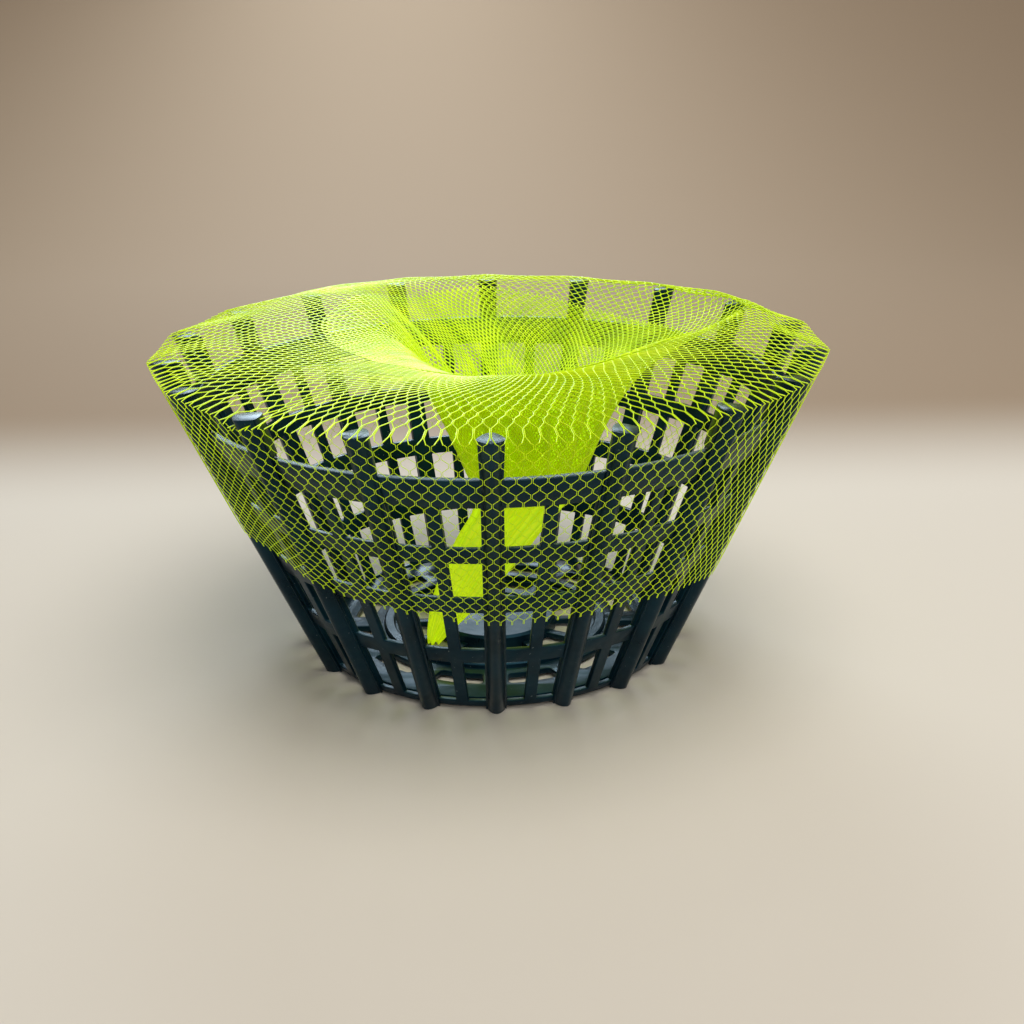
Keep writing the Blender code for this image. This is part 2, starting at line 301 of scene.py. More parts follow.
def make_yarn(name, painted_glow, ribs=False):
    """The yarn's finish, with its share of painted glow for the fluorescence, and the ribs of closed cells.
    """
    finish, tree, shader, place = new_material(name)
    tint = add_node(tree, "ShaderNodeTexNoise", {"Vector": place, "Scale": 1 / YARN_TINT_SIZE, "Detail": 3})
    tone = tint.outputs["Fac"]
    if ribs:
        uv = add_node(tree, "ShaderNodeUVMap", uv_map="net").outputs["UV"]
        lines = add_node(
            tree,
            "ShaderNodeTexWave",
            {"Vector": uv, "Scale": RIB_LINES / 2, "Distortion": 1.2, "Detail": 2, "Detail Scale": 3},
            bands_direction="X",
        )
        strength = {0: lines.outputs["Fac"], 1: 0.3, 2: -0.15}
        ribbed = add_node(tree, "ShaderNodeMath", strength, operation="MULTIPLY_ADD")
        tone = add_node(tree, "ShaderNodeMath", {0: tone, 1: ribbed.outputs[0]}, operation="ADD").outputs[0]
    colour = add_node(tree, "ShaderNodeValToRGB", {"Fac": tone})
    colour.color_ramp.elements[0].color = srgb(YARN_DEEP)
    colour.color_ramp.elements[1].color = srgb(YARN_BRIGHT)
    colour.color_ramp.elements[0].position = 0.3
    colour.color_ramp.elements[1].position = 0.65
    tree.links.new(colour.outputs["Color"], shader.inputs["Base Color"])
    twist = add_node(tree, "ShaderNodeTexNoise", {"Vector": place, "Scale": 1 / TWIST_SIZE, "Detail": 1})
    relief = add_node(
        tree, "ShaderNodeBump", {"Height": twist.outputs["Fac"], "Strength": 0.3, "Distance": 0.05 * MM}
    )
    tree.links.new(relief.outputs["Normal"], shader.inputs["Normal"])
    shader.inputs["Roughness"].default_value = 0.42
    shader.inputs["IOR"].default_value = 1.51
    # painted glow: emission that shines whatever the lamps, for the light the dye gives back
    shader.inputs["Emission Color"].default_value = srgb(PAINTED_GLOW_COLOUR)
    shader.inputs["Emission Strength"].default_value = painted_glow
    return finish


yarn = make_yarn("polyethylene yarn, knitted, fluorescent, painted glow", 0.2)
# the closed cells get twice the painted glow: painted light for light shining through their crowded layers,
# also where they lie in shade
yarn_cloth = make_yarn("polyethylene yarn, cells closed, painted glow", 0.4, ribs=True)
print("materials:", plastic.name, "/", yarn.name)


# %% [markdown]
# ## Tools for building
#
# A moulded part repeats itself round its axis: one bay of wall or one stave is modelled once, and
# a small node tree turns the copies into place, welds them where they meet and gives them their
# material. The copies could be made with an array modifier and an empty, but a tree with a named
# count is easier to change. The result is turned into a plain mesh.

# %% Finished pieces
def make_object(name, builder):
    """A named object from a filled bmesh."""
    mesh = bpy.data.meshes.new(name)
    builder.to_mesh(mesh)
    builder.free()
    thing = bpy.data.objects.new(name, mesh)
    bpy.context.collection.objects.link(thing)
    return thing


def freeze(thing):
    """Turns an object with modifiers into a plain mesh."""
    graph = bpy.context.evaluated_depsgraph_get()
    graph.update()
    solid = bpy.data.meshes.new_from_object(thing.evaluated_get(graph))
    thing.modifiers.clear()
    old = thing.data
    thing.data = solid
    bpy.data.meshes.remove(old)
    solid.name = thing.name
    return thing


def triangles(thing):
    """How many triangles a mesh object has."""
    return sum(len(face.vertices) - 2 for face in thing.data.polygons)


def round_edges(thing, radius, segments=2, angle=30):
    """Rounds every edge sharper than an angle, as a mould does, and freezes the result."""
    bevel = thing.modifiers.new("round_edges", "BEVEL")
    bevel.width = radius
    bevel.segments = segments
    bevel.limit_method = "ANGLE"
    bevel.angle_limit = radians(angle)
    freeze(thing)
    thing.data.shade_smooth()
    thing.data.set_sharp_from_angle(angle=radians(50))
    return thing


# %% A node tree that repeats a shape round the axis
def add_socket(tree, name, kind, default=None, out=False):
    """A named input or output of a node tree."""
    socket = tree.interface.new_socket(name, in_out="OUTPUT" if out else "INPUT", socket_type=kind)
    if default is not None:
        socket.default_value = default
    return socket


repeat_tree = bpy.data.node_groups.new("repeat round the axis", "GeometryNodeTree")
add_socket(repeat_tree, "Geometry", "NodeSocketGeometry")
add_socket(repeat_tree, "Copies", "NodeSocketInt", STAVES)
add_socket(repeat_tree, "Weld Distance", "NodeSocketFloat", 0.02 * MM)
add_socket(repeat_tree, "Material", "NodeSocketMaterial")
add_socket(repeat_tree, "Geometry", "NodeSocketGeometry", out=True)
given = add_node(repeat_tree, "NodeGroupInput").outputs
one = add_node(repeat_tree, "GeometryNodeGeometryToInstance", {0: given["Geometry"]})
copies = add_node(
    repeat_tree,
    "GeometryNodeDuplicateElements",
    {"Geometry": one.outputs[0], "Amount": given["Copies"]},
    domain="INSTANCE",
)
step = add_node(repeat_tree, "ShaderNodeMath", {0: tau, 1: given["Copies"]}, operation="DIVIDE")
turn = add_node(
    repeat_tree,
    "ShaderNodeMath",
    {0: copies.outputs["Duplicate Index"], 1: step.outputs[0]},
    operation="MULTIPLY",
)
spin = add_node(repeat_tree, "ShaderNodeCombineXYZ", {"Z": turn.outputs[0]})
placed = add_node(
    repeat_tree,
    "GeometryNodeRotateInstances",
    {"Instances": copies.outputs["Geometry"], "Rotation": spin.outputs[0], "Local Space": False},
)
real = add_node(repeat_tree, "GeometryNodeRealizeInstances", {"Geometry": placed.outputs[0]})
welded = add_node(
    repeat_tree,
    "GeometryNodeMergeByDistance",
    {"Geometry": real.outputs[0], "Distance": given["Weld Distance"]},
)
finished = add_node(
    repeat_tree,
    "GeometryNodeSetMaterial",
    {"Geometry": welded.outputs[0], "Material": given["Material"]},
)
add_node(repeat_tree, "NodeGroupOutput", {0: finished.outputs[0]})


def run_tree(thing, tree, values):
    """Puts a node tree on an object, sets its named inputs, and freezes the result."""
    modifier = thing.modifiers.new(tree.name, "NODES")
    modifier.node_group = tree
    sockets = {
        item.name: item.identifier
        for item in tree.interface.items_tree
        if item.item_type == "SOCKET" and item.in_out == "INPUT"
    }
    for name, value in values.items():
        modifier[sockets[name]] = value
    return freeze(thing)


# %% [markdown]
# ## The wall
#
# The wall is a cone with four rows of windows. Seen flat, one bay is a small grid: a strip behind
# the stave, a window, a slat, and another window, crossed by the hoops. Cells that are plastic get
# an outer and an inner face, and every border between plastic and air gets a side face, so the bay
# is one watertight lattice rather than bars pushed through each other.

# %% One bay of the lattice, and its copies
WALL_THICKNESS = 2.6 * MM
RIM_THICKNESS = 4.2 * MM
STAVE_WIDTH = 7.8 * MM
SLAT_WIDTH = 4.6 * MM
EDGE_RADIUS = 0.35 * MM
RIM_OVERLAP = 1 * MM  # how far the wall reaches into the thicker rim


def lattice_bay(levels, solid_rows, thickness):
    """One bay of wall, from the middle of one stave to the middle of the next."""
    builder = bmesh.new()
    verts = {}
    columns = [
        (0, 0.0), (0, STAVE_WIDTH / 2), (0.25, 0.0), (0.5, -SLAT_WIDTH / 2),
        (0.5, SLAT_WIDTH / 2), (0.75, 0.0), (1, -STAVE_WIDTH / 2), (1, 0.0),
    ]
    plastic_columns = {0, 3, 6}  # behind half a stave, the slat, and behind the next half stave

    def vert(depth, row, column):
        key = (depth, row, column)
        if key not in verts:
            height = levels[row]
            share, shift = columns[column]
            radius = wall_radius(height)
            azimuth = share * BAY + shift / radius
            verts[key] = builder.verts.new(polar(radius - depth * thickness, azimuth, height))
        return verts[key]

    def is_solid(row, column):
        if not 0 <= row < len(levels) - 1:
            return False
        inside = column % (len(columns) - 1)
        return row in solid_rows or inside in plastic_columns

    for row in range(len(levels) - 1):
        for column in range(len(columns) - 1):
            if not is_solid(row, column):
                continue
            loop = [(row, column), (row, column + 1), (row + 1, column + 1), (row + 1, column)]
            builder.faces.new([vert(0, *corner) for corner in loop])
            builder.faces.new([vert(1, *corner) for corner in reversed(loop)])
            across = [(row - 1, column), (row, column + 1), (row + 1, column), (row, column - 1)]
            for side, neighbour in enumerate(across):
                if is_solid(*neighbour):
                    continue
                a, b = loop[side], loop[(side + 1) % 4]
                builder.faces.new((vert(0, *b), vert(0, *a), vert(1, *a), vert(1, *b)))
    bmesh.ops.recalc_face_normals(builder, faces=builder.faces)
    return builder


levels = [height for pair in HOOPS[:-1] for height in pair] + [HOOPS[-1][0] + RIM_OVERLAP]
hoop_rows = {0, 2, 4, 6}
basket_wall = make_object("basket_wall", lattice_bay(levels, hoop_rows, WALL_THICKNESS))
run_tree(basket_wall, repeat_tree, {"Copies": STAVES, "Material": plastic})
round_edges(basket_wall, EDGE_RADIUS)

basket_rim = make_object("basket_rim", lattice_bay(HOOPS[-1], {0}, RIM_THICKNESS))
run_tree(basket_rim, repeat_tree, {"Copies": STAVES, "Material": plastic})
round_edges(basket_rim, 2 * EDGE_RADIUS)
print("wall:", triangles(basket_wall), "triangles; rim:", triangles(basket_rim), "triangles")

# %% [markdown]
# ## The staves
#
# A stave is a half-round bar with a thin flange where it meets the wall. Above the rim it stands
# free and grows into a leaf-shaped head with a flat top, over which the net is stretched. It is
# lofted through a few outlines, from the foot up, and repeated by the same tree.

# %% One stave and its copies
FLANGE_HEIGHT = 0.9 * MM
FLANGE_INSET = 0.6 * MM
HEAD_WIDTH = 9.8 * MM
HEAD_INWARD = 7.4 * MM
HEAD_POINT, NECK_POINT, BAR_POINT = 1.5, 1.8, 2  # 2 is an oval, 1 is a rhombus
HEAD_DEPTH = 1.6 * MM  # height of the flared part of the head
BACK_RELIEF = 0.05 * MM  # keeps the flat back a hair outside the wall's inner line
HEAD_FLANGE = 0.2 * MM
FULLNESS = 1.25
OUTLINE_STEPS = 12


def bulge(width, depth, sharpness, side):
    """Half of an outline, from one edge to the other, bulging by depth to one side."""
    points = []
    for i in range(OUTLINE_STEPS + 1):
        across = cos(pi * i / OUTLINE_STEPS)
        height = (1 - abs(across) ** sharpness) ** (1 / FULLNESS)
        points.append((side * across * width / 2, side * depth * height))
    return points


def stave_outline(height, width, inward, sharpness, flange):
    """The closed outline of a stave at a height: round outwards, with a flat or leaf-shaped back."""
    front = bulge(width - 2 * flange, STAVE_PROUD - FLANGE_HEIGHT, sharpness, 1)
    front = [(x, y + FLANGE_HEIGHT) for x, y in front]
    back = bulge(width, inward, sharpness, -1)
    outline = [*front, (-width / 2, FLANGE_HEIGHT), *back, (width / 2, FLANGE_HEIGHT)]
    seat = wall_radius(height)
    return [Vector((-x, -(seat + y), height)) for x, y in outline]


def loft(builder, sections):
    """A closed solid through outlines that have the same number of points."""
    loops = [[builder.verts.new(point) for point in section] for section in sections]
    for lower, upper in zip(loops, loops[1:]):
        for i in range(len(lower)):
            j = (i + 1) % len(lower)
            builder.faces.new((lower[i], lower[j], upper[j], upper[i]))
    builder.faces.new(reversed(loops[0]))
    builder.faces.new(loops[-1])


builder = bmesh.new()
SHOULDER = HOOPS[-1][1]
loft(
    builder,
    [
        stave_outline(0, STAVE_WIDTH, BACK_RELIEF, BAR_POINT, FLANGE_INSET),
        stave_outline(SHOULDER, STAVE_WIDTH, BACK_RELIEF, BAR_POINT, FLANGE_INSET),
        stave_outline(SHOULDER + 1 * MM, STAVE_WIDTH, 0.8 * HEAD_INWARD, NECK_POINT, FLANGE_INSET),
        stave_outline(TOP - HEAD_DEPTH, HEAD_WIDTH - 1 * MM, HEAD_INWARD, HEAD_POINT, HEAD_FLANGE),
        stave_outline(TOP, HEAD_WIDTH, HEAD_INWARD, HEAD_POINT, HEAD_FLANGE),
    ],
)
bmesh.ops.remove_doubles(builder, verts=builder.verts, dist=0.02 * MM)
bmesh.ops.recalc_face_normals(builder, faces=builder.faces)
basket_staves = make_object("basket_staves", builder)
run_tree(basket_staves, repeat_tree, {"Copies": STAVES, "Material": plastic, "Weld Distance": 0.0})
round_edges(basket_staves, 0.3 * MM, angle=40)
print("staves:", triangles(basket_staves), "triangles")

# %% [markdown]
# ## The floor
#
# The floor is a flat disc pierced by a ring of curved drain slots and, nearer the middle, by the
# gaps between twelve spokes. A raised ring stiffens it, and a shallow hollow hub closes the
# middle. One flat outline with holes, given a thickness and rounded edges, makes the pierced disc,
# because a filled 2D curve cuts its own holes cleanly. The ring and the hub are turned profiles.

# %% The pierced disc
FLOOR_LOW, FLOOR_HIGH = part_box("floor_plate")[0].z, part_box("floor_plate")[1].z
FLOOR_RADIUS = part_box("floor_plate")[1].x + 0.4 * MM
HUB_RADIUS, HUB_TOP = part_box("floor_hub")[1].x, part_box("floor_hub")[1].z
RIB_OUTER, RIB_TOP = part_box("floor_rib")[1].x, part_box("floor_rib")[1].z
RIB_WIDTH = 5 * MM
SECTORS = 12
SLOT_INNER, SLOT_OUTER = 51.5 * MM, 59.5 * MM
BAR_WIDTH = 10 * MM
SPOKE_WIDTH = 4 * MM
CORNER, INNER_CORNER = 1.6 * MM, 1.5 * MM
HUB_OVERLAP, RIB_MARGIN = 1 * MM, 1.5 * MM
EDGE = 0.4 * MM
ROUND_SEGMENTS, HUB_SEGMENTS = 144, 96
CORNER_STEPS, ARC_STEPS = 4, 8


def rounded_sector(inner, outer, azimuth, bar, corner):
    """The outline of one slot: a piece of a ring between two bars, with rounded corners."""
    points = []
    for radius, ends in ((inner, (1, -1)), (outer, (-1, 1))):
        away = 1 if radius == outer else -1
        corner_ring = radius - away * corner
        reach = (tau / SECTORS) / 2 - (bar / 2 + corner) / corner_ring
        for end in ends:
            for i in range(CORNER_STEPS + 1):
                turned = pi / 2 * i / CORNER_STEPS
                first = turned if end == ends[1] else pi / 2 - turned
                radial = corner_ring + away * corner * cos(first)
                points.append((radial, azimuth + end * (reach + corner * sin(first) / corner_ring)))
            if end == ends[0]:
                for i in range(1, ARC_STEPS):
                    points.append((radius, azimuth + end * reach * (1 - 2 * i / ARC_STEPS)))
    return [polar(radius, turn, 0) for radius, turn in points]


def add_outline(curve, points):
    """A closed straight-sided outline on a flat curve."""
    spline = curve.splines.new("POLY")
    spline.points.add(len(points) - 1)
    for knot, point in zip(spline.points, points):
        knot.co = (point.x, point.y, 0, 1)
    spline.use_cyclic_u = True


disc = bpy.data.curves.new("floor_disc", "CURVE")
disc.dimensions = "2D"
disc.fill_mode = "BOTH"
disc.extrude = (FLOOR_HIGH - FLOOR_LOW) / 2 - EDGE
disc.bevel_depth = EDGE
disc.bevel_resolution = 1
disc.offset = -EDGE
add_outline(disc, [polar(FLOOR_RADIUS, tau * i / ROUND_SEGMENTS, 0) for i in range(ROUND_SEGMENTS)])
gap_inner = HUB_RADIUS - HUB_OVERLAP
gap_outer = RIB_OUTER - RIB_WIDTH - RIB_MARGIN
for k in range(SECTORS):
    azimuth = tau * (k + 0.5) / SECTORS
    add_outline(disc, rounded_sector(SLOT_INNER, SLOT_OUTER, azimuth, BAR_WIDTH, CORNER))
    add_outline(disc, rounded_sector(gap_inner, gap_outer, azimuth, SPOKE_WIDTH, INNER_CORNER))
outline_object = bpy.data.objects.new("floor_outline", disc)
bpy.context.collection.objects.link(outline_object)
graph = bpy.context.evaluated_depsgraph_get()
floor_plate_mesh = bpy.data.meshes.new_from_object(outline_object.evaluated_get(graph))
bpy.data.objects.remove(outline_object)
floor_plate_mesh.transform(Matrix.Translation((0, 0, (FLOOR_LOW + FLOOR_HIGH) / 2)))


# %% The ring and the hub, joined to the disc
def turned_profile(builder, profile, segments):
    """A closed ring or a capped dish from a profile of (radius, height), turned round the axis."""
    loops = []
    for radius, height in profile:
        if radius < 1e-6:
            loops.append([builder.verts.new((0, 0, height))])
        else:
            turns = [tau * k / segments for k in range(segments)]
            loops.append([builder.verts.new(polar(radius, turn, height)) for turn in turns])
    for lower, upper in zip(loops, loops[1:] + loops[:1]):
        if len(lower) == 1 and len(upper) == 1:
            continue
        for k in range(segments):
            j = (k + 1) % segments
            corners = [lower[k % len(lower)], lower[j % len(lower)]]
            corners += [upper[j % len(upper)], upper[k % len(upper)]]
            builder.faces.new(list(dict.fromkeys(corners)))


builder = bmesh.new()
builder.from_mesh(floor_plate_mesh)
bmesh.ops.remove_doubles(builder, verts=builder.verts, dist=0.01 * MM)
SINK = 0.4 * MM  # the ring and the hub are moulded with the disc, so they reach into it
RIB_INNER = RIB_OUTER - RIB_WIDTH
HUB_LOW = FLOOR_LOW + 0.2 * MM
HUB_DISH = HUB_TOP - 0.5 * MM  # the hub's hollow top
HUB_UNDER = HUB_TOP - 2.4 * MM  # its underside
turned_profile(
    builder,
    [
        (RIB_INNER, FLOOR_HIGH - SINK),
        (RIB_OUTER, FLOOR_HIGH - SINK),
        (RIB_OUTER - 0.3 * MM, RIB_TOP - 0.5 * MM),
        (RIB_OUTER - 0.9 * MM, RIB_TOP),
        (RIB_INNER + 0.9 * MM, RIB_TOP),
        (RIB_INNER + 0.3 * MM, RIB_TOP - 0.5 * MM),
    ],
    ROUND_SEGMENTS,
)
turned_profile(
    builder,
    [
        (HUB_RADIUS, HUB_LOW),
        (HUB_RADIUS - 0.5 * MM, HUB_TOP - 1 * MM),
        (HUB_RADIUS - 1.5 * MM, HUB_TOP),
        (HUB_RADIUS - 6 * MM, HUB_TOP),
        (HUB_RADIUS - 6.6 * MM, HUB_DISH),
        (0, HUB_DISH),
        (0, HUB_UNDER),
        (HUB_RADIUS - 2.4 * MM, HUB_UNDER),
        (HUB_RADIUS - 2.2 * MM, HUB_LOW),
    ],
    HUB_SEGMENTS,
)
bmesh.ops.recalc_face_normals(builder, faces=builder.faces)
basket_floor = make_object("basket_floor", builder)
basket_floor.data.shade_smooth()
basket_floor.data.set_sharp_from_angle(angle=radians(35))
basket_floor.data.materials.clear()
basket_floor.data.materials.append(plastic)
bpy.data.meshes.remove(floor_plate_mesh)
print("floor:", triangles(basket_floor), "triangles")

# %% [markdown]
# ## The shape of the net
#
# The net is one tube. Seen from the hem, it climbs the outside of the staves, turns over their
# heads, crosses the top, folds over a soft ridge and falls through the middle of the basket as a
# pleated funnel, whose cut end lies on the floor as a flat tail. Each thread of the knitting
# follows one path down this surface, so the surface is drawn as paths: at each azimuth a smooth
# line through a few stations, cut into lengths that match the rows of the knitting. It could be
# draped by simulation, but threads this fine would take far too long, and the folds are known.

# %% Hem, stave heads and the stations of the funnel
NET_CLEARANCE = 0.5 * MM
HEM = [  # azimuth in degrees, height of the hem in millimetres
    (-90, 66), (-52, 63), (-37, 54), (-20, 50), (0, 46), (30, 47), (50, 44.5), (62, 41.5),
    (95, 42), (140, 50), (180, 57), (225, 62),
]
LIP = [  # azimuth in degrees, then where the net rolls over into the funnel, in millimetres
    (-122, -50, 72, 126), (-110, -46, 50, 124.5), (-98, -42, 20, 123.5), (-82, -34, -8, 123),
    (-60, -24, -34, 123.5), (-30, -10, -53, 124), (0, 5, -56, 124.5), (32, 23, -54, 124.5),
    (49, 42, -40, 124.5), (64, 58, -20, 124.5), (84, 82, 4, 124.5), (103, 97, 30, 124),
    (122, 86, 62, 122), (143, 56, 80, 122), (162, 26, 84, 124.5), (180, -4, 82, 127),
    (210, -34, 80, 127),
]
WALL = [  # the same for the funnel's wall, half-way down
    (-122, -18, 36, 100), (-110, -21, 28, 98), (-98, -22, 17, 97), (-82, -21, 4, 97),
    (-60, -16, -10, 97), (-30, -5, -22, 97), (0, 9, -27, 98), (32, 26, -26, 98),
    (49, 38, -19, 98), (64, 46, -10, 99), (84, 52, 4, 100), (103, 52, 16, 100),
    (122, 46, 28, 100), (143, 36, 37, 99), (162, 24, 42, 98), (180, 11, 45, 98),
    (210, -4, 43, 99),
]
DOME = [  # how far the slack net stands above the rim before it reaches the lip
    (-180, 5), (-120, 6), (-60, 4), (0, 5), (60, 6), (100, 7), (140, 4),
]
WAIST = (14, 0, 61)  # the funnel's narrowest place, in millimetres
WAIST_HALF_WIDTH, WAIST_HALF_DEPTH = 20, 7
BOW = 0.15  # how far a taut net bows back from the straight line towards the circle


def round_values(table, azimuths):
    """Smooth values at azimuths, in radians, from a table of (degrees, values...) round the axis."""
    keys = np.array(sorted((row[0] % 360, *row[1:]) for row in table), float)
    before, after = keys[-2:].copy(), keys[:2].copy()
    before[:, 0] -= 360
    after[:, 0] += 360
    keys = np.vstack([before, keys, after])
    places, values = keys[:, 0], keys[:, 1:]
    slopes = np.zeros_like(values)
    slopes[1:-1] = (values[2:] - values[:-2]) / (places[2:] - places[:-2])[:, None]
    wanted = np.degrees(azimuths) % 360
    found = np.clip(np.searchsorted(places, wanted, side="right") - 1, 1, len(places) - 3)
    span = (places[found + 1] - places[found])[:, None]
    t = (wanted - places[found])[:, None] / span
    return (
        values[found] * (1 + 2 * t) * (1 - t) ** 2
        + slopes[found] * span * t * (1 - t) ** 2
        + values[found + 1] * t**2 * (3 - 2 * t)
        + slopes[found + 1] * span * t**2 * (t - 1)
    )


def bay_share(azimuths):
    """0 on a stave, 1 in the middle between two staves."""
    return (1 - np.cos(STAVES * azimuths)) / 2


def taut_radius(radius, azimuths):
    """The radius of a net pulled straight from stave to stave."""
    off_middle = (azimuths % BAY) - BAY / 2
    straight = radius * cos(BAY / 2) / np.cos(off_middle)
    return straight + BOW * (radius - straight)


def on_circle(radius, azimuths, heights):
    """Points on a ring, as rows of x, y, z."""
    return np.stack([radius * np.sin(azimuths), -radius * np.cos(azimuths), heights], axis=1)


# %% Smooth paths through stations
STATION_STEPS = 12


def between(a, b, c, d, t):
    """A point of the smooth curve from b to c, with neighbours a and d, at a share t."""
    even = 2 * b + (c - a) * t
    bend = (2 * a - 5 * b + 4 * c - d) * t**2 + (3 * b - a - 3 * c + d) * t**3
    return 0.5 * (even + bend)


def even_paths(stations, samples, pull):
    """Smooth paths through stations (station, path, xyz), cut into lengths.

    With a pull of 1 the lengths are even; below 1 they are longer at the start, where the net is
    stretched, and shorter at the end, where it is slack.
    """
    before = 2 * stations[:1] - stations[1:2]
    after = 2 * stations[-1:] - stations[-2:-1]
    extended = np.concatenate([before, stations, after])
    fine = []
    for i in range(1, len(extended) - 2):
        for t in np.linspace(0, 1, STATION_STEPS, endpoint=False):
            fine.append(between(*extended[i - 1 : i + 3], t))
    fine.append(stations[-1])
    fine = np.array(fine)
    lengths = np.linalg.norm(np.diff(fine, axis=0), axis=2)
    travelled = np.concatenate([np.zeros((1, fine.shape[1])), np.cumsum(lengths, axis=0)])
    wanted = np.linspace(0, 1, samples)
    result = np.zeros((samples, fine.shape[1], 3))
    for path in range(fine.shape[1]):
        share = travelled[:, path] / travelled[-1, path]
        for axis in range(3):
            result[:, path, axis] = np.interp(wanted ** pull[path], share, fine[:, path, axis])
    return result


# %% Paths of the net
CROWN_ROWS, THROAT_ROWS, SKIRT_ROWS = 32, 40, 27
NET_TOP = TOP + NET_CLEARANCE
RIM_TURN = 12 * MM  # how far in from the rim the net has turned level
RIM_DROP = 0.5 * MM
SAG = 0.8 * MM  # between two staves
FREE_STAVE = radians(-40)  # one head has slipped through the net
SLIP, SLIP_REACH = 3.5 * MM, radians(4)
FRONT_PULL = 0.62
PLEATS = [(19, 0.7, 1.0), (31, 1.9, 0.5)]  # folds round the funnel, their phase and their strength
LIP_PLEAT, WALL_PLEAT, WAIST_PLEAT = 0.3 * MM, 1.6 * MM, 0.7 * MM
DOME_START, DOME_PLACE = 0.5, 0.45
HEM_PULL = 0.18  # how much shorter the skirt's rows are near the hem


def slip_depth(azimuths):
    """How far the net has slid down round the free head."""
    away = (azimuths - FREE_STAVE + pi) % tau - pi
    return SLIP * np.exp(-((away / SLIP_REACH) ** 2))


def crown_paths(azimuths, samples):
    """For each azimuth, points from the rim's outer edge to the funnel's waist."""
    sag = SAG * bay_share(azimuths)
    slip = slip_depth(azimuths)
    rim_radius = taut_radius(RIM_RADIUS + NET_CLEARANCE, azimuths)
    rim = on_circle(rim_radius, azimuths, NET_TOP - RIM_DROP - sag - slip)
    inner = on_circle(taut_radius(RIM_RADIUS - RIM_TURN, azimuths), azimuths, NET_TOP - 1.4 * sag - slip)
    pleat = sum(strength * np.sin(count * azimuths + phase) for count, phase, strength in PLEATS)
    fold = on_circle(pleat, azimuths, 0 * azimuths)
    lip = round_values(LIP, azimuths) * MM + fold * LIP_PLEAT
    wall = round_values(WALL, azimuths) * MM + fold * WALL_PLEAT
    ring = on_circle(1, azimuths, 0 * azimuths) * (WAIST_HALF_WIDTH, WAIST_HALF_DEPTH, 0)
    waist = (np.array(WAIST) + ring) * MM + fold * WAIST_PLEAT
    dome = round_values(DOME, azimuths)[:, 0] * MM
    inner[:, 2] += DOME_START * dome
    middle = inner + (lip - inner) * DOME_PLACE
    middle[:, 2] = NET_TOP + dome
    stations = np.stack([rim, inner, middle, lip, wall, waist])
    pull = FRONT_PULL + (1 - FRONT_PULL) * (1 - np.cos(azimuths)) / 2
    return even_paths(stations, samples, pull)


def skirt_paths(azimuths, samples):
    """For each azimuth, points from the hem up to the rim's outer edge."""
    hem = round_values(HEM, azimuths)[:, 0] * MM
    top = NET_TOP - RIM_DROP - SAG * bay_share(azimuths) - slip_depth(azimuths)
    rows = []
    for share in np.linspace(0, 1, samples):
        height = hem + (top - hem) * ((1 - HEM_PULL) * share + HEM_PULL * share**2)
        radius = RIM_RADIUS + NET_CLEARANCE - TAPER * (TOP - height)
        rows.append(on_circle(taut_radius(radius, azimuths), azimuths, height))
    return np.array(rows)


# %% Guide sheets cut from the paths
GUIDE_COLUMNS = STAVES * 14
FOLD_ROWS = 10  # rows of the crown that the folded layer covers above the throat
FOLD_INSET = 1.6 * MM
FUNNEL_MIDDLE = (WAIST[0] * MM, 8 * MM, 0)


def guide_sheet(name, grid):
    """A sheet through a grid of points, with a UV map of (round, along)."""
    rows, columns = grid.shape[:2]
    mesh = bpy.data.meshes.new(name)
    faces = [
        (r * columns + c, r * columns + c + 1, (r + 1) * columns + c + 1, (r + 1) * columns + c)
        for r in range(rows - 1)
        for c in range(columns - 1)
    ]
    mesh.from_pydata(grid.reshape(-1, 3).tolist(), [], faces)
    layer = mesh.uv_layers.new(name="net")
    for loop in mesh.loops:
        row, column = divmod(loop.vertex_index, columns)
        layer.data[loop.index].uv = (column / (columns - 1), row / (rows - 1))
    thing = bpy.data.objects.new(name, mesh)
    bpy.context.collection.objects.link(thing)
    return thing


azimuths = np.linspace(0, tau, GUIDE_COLUMNS + 1)
over_top = crown_paths(azimuths, 2 * (CROWN_ROWS + THROAT_ROWS) + 1)
crown_grid = over_top[: 2 * CROWN_ROWS + 1]
throat_grid = over_top[2 * CROWN_ROWS :]
skirt_grid = skirt_paths(azimuths, 2 * SKIRT_ROWS + 1)


def second_layer(grid):
    """A grid's twin a little nearer to the funnel's middle, turned by one column."""
    inward = np.array(FUNNEL_MIDDLE) - grid
    inward[:, :, 2] = 0
    inward /= np.linalg.norm(inward, axis=2, keepdims=True)
    moved = grid + inward * FOLD_INSET
    turned = np.roll(moved[:, :-1], 1, axis=1)
    return np.concatenate([turned, turned[:, :1]], axis=1)


fold_grid = second_layer(over_top[2 * (CROWN_ROWS - FOLD_ROWS) :])
path_length = np.linalg.norm(np.diff(over_top, axis=0), axis=2).sum(axis=0)
shortest, longest = np.round([path_length.min() / MM, path_length.max() / MM])
print("paths from rim to waist:", shortest, "to", longest, "mm")

# %% [markdown]
# ## Knitting
#
# The fabric is a hexagonal warp knit. Each lengthwise thread is tied to its left neighbour in one
# row and to its right neighbour in the next, so it zigzags, and each tie shows as a short upright
# stem of two threads side by side. The node tree below lays such threads out in the flat, as
# points with a thread number and a place along it, looks each point up on the guide sheet through
# the sheet's UV map, and gives the threads their thickness. Crowded cells get a second, closer
# knit just inside the throat, the lining. A tileable picture of a net would be
# quicker, but it would have no thickness, and would show as a picture from the side.

